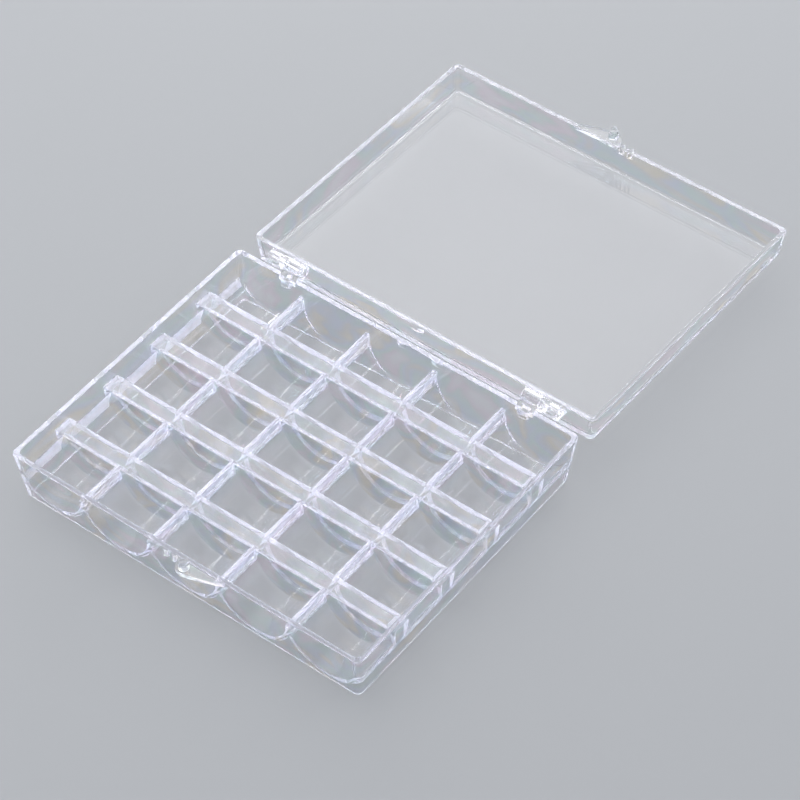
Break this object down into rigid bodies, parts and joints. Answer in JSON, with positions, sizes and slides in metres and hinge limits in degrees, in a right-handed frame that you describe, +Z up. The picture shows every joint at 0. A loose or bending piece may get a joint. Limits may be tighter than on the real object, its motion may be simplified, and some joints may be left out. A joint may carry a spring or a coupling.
{
  "type": "bobbin storage case",
  "caption": "Low clear plastic case with rows of trough-bottomed compartments for sewing bobbins and a flat lid hinged along its long side, shown folded open.",
  "frame": {"origin": "on the table, straight below the middle of the hinge axis", "axes": "+X along the hinge, +Y from the tray towards the opened lid, +Z up"},
  "size_m": [0.12, 0.2105, 0.0196],
  "materials": {
    "clear_tray": "clear injection moulded polystyrene, gloss",
    "clear_lid": "clear injection moulded polystyrene, gloss"
  },
  "bodies": {
    "tray": {"base_tray": "clear_tray"},
    "lid": {"lid": "clear_lid"}
  },
  "joints": [
    {"name": "lid_hinge", "type": "hinge", "parent": "tray", "child": "lid", "pos_m": [0, 0, 0.0169], "axis": [1, 0, 0], "range_deg": [0, 182.26]}
  ]
}
